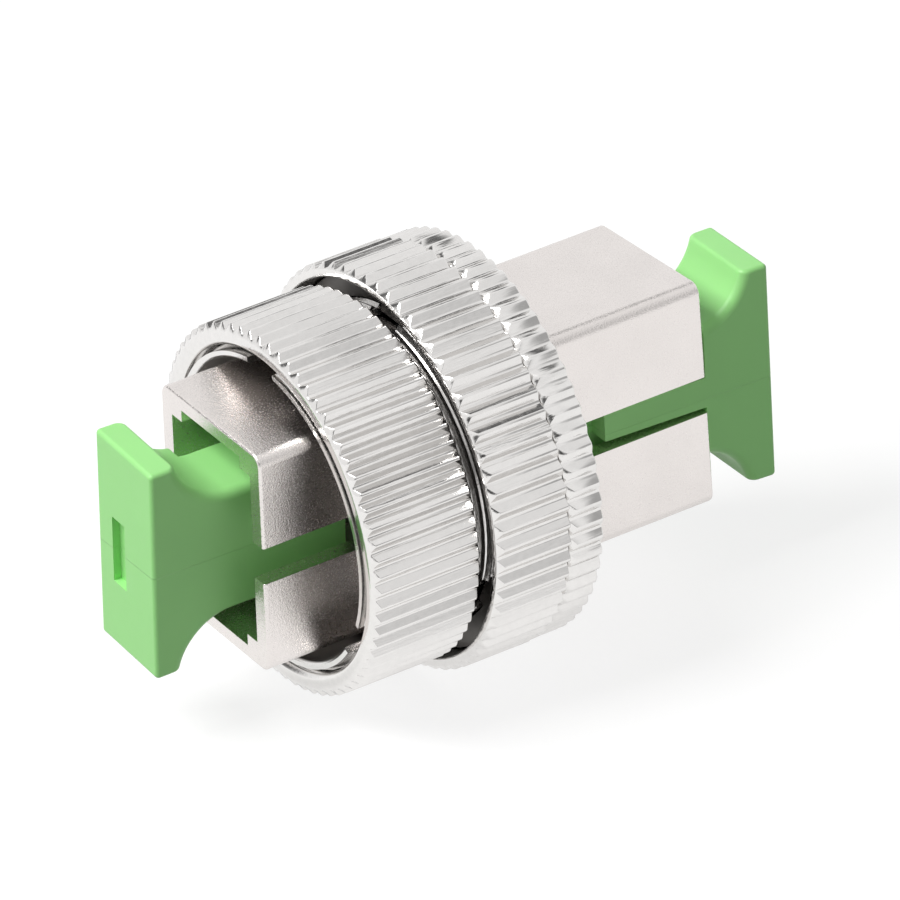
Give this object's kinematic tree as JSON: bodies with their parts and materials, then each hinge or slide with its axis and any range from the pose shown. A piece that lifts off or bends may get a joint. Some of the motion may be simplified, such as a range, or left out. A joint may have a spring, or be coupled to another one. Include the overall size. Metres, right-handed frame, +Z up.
{
  "type": "fibre attenuator",
  "caption": "In-line variable fibre-optic attenuator with square push-pull ports at its ends, knurled adjusting and lock rings on a slotted barrel, and pull-off dust caps.",
  "frame": {"origin": "centre of the footprint, on the floor that the knurled lock ring rests on", "axes": "+X along the optical axis from the front port (the one that moves) to the rear port, -Y is the side of both keyways, +Z up"},
  "size_m": [0.0378, 0.0228, 0.0228],
  "materials": {
    "plated_casting": "fine satin nickel plating over a die casting",
    "plated_ring": "bright nickel plating",
    "plated_barrel": "bright nickel plating on a turned thread",
    "steel": "turned",
    "spring_steel": "drawn wire",
    "natural_plastic": "moulded",
    "holder_metal": "nickel plated brass",
    "ceramic": "polished",
    "green_plastic": "moulded, soft sheen"
  },
  "bodies": {
    "rear_body": {"rear_port_shell": "plated_casting", "slotted_barrel": "plated_barrel", "clamp_ring": "plated_ring", "rear_latch_housing": "natural_plastic", "rear_sleeve_holder": "holder_metal", "alignment_sleeve": "ceramic", "rear_screw_near": "steel", "rear_screw_far": "steel", "return_spring": "spring_steel"},
    "carriage": {"front_port_shell": "plated_casting", "front_latch_housing": "natural_plastic", "front_sleeve_holder": "holder_metal", "front_screw_near": "steel", "front_screw_far": "steel", "guide_key_top": "steel", "guide_key_near": "steel", "guide_key_far": "steel"},
    "adjuster": {"adjusting_ring": "plated_ring", "adjusting_retainer": "steel"},
    "lock_tab": {"lock_washer": "steel"},
    "lock": {"lock_ring": "plated_ring"},
    "front_cap": {"front_dust_cap": "green_plastic"},
    "rear_cap": {"rear_dust_cap": "green_plastic"}
  },
  "joints": [
    {"name": "adjust_turn", "type": "hinge", "parent": "carriage", "child": "adjuster", "pos_m": [-0.00719, 0, 0.01142], "axis": [-1, 0, 0], "range_deg": [0, 1440]},
    {"name": "gap_slide", "type": "slide", "parent": "rear_body", "child": "carriage", "axis": [-1, 0, 0], "range_m": [0, 0.002], "deforming": ["return_spring"]},
    {"name": "lock_turn", "type": "hinge", "parent": "lock_tab", "child": "lock", "pos_m": [-0.00114, 0, 0.01142], "axis": [-1, 0, 0], "range_deg": [0, 216]},
    {"name": "lock_feed", "type": "slide", "parent": "rear_body", "child": "lock_tab", "axis": [-1, 0, 0], "range_m": [0, 0.0003]},
    {"name": "front_cap_pull", "type": "slide", "parent": "carriage", "child": "front_cap", "axis": [-1, 0, 0], "range_m": [0, 0.03]},
    {"name": "rear_cap_pull", "type": "slide", "parent": "rear_body", "child": "rear_cap", "axis": [1, 0, 0], "range_m": [0, 0.03]}
  ],
  "couplings": [
    {"joint": "gap_slide", "follows": "adjust_turn", "m_per_rad": 0.000079577},
    {"joint": "lock_feed", "follows": "lock_turn", "m_per_rad": 0.000079577}
  ]
}
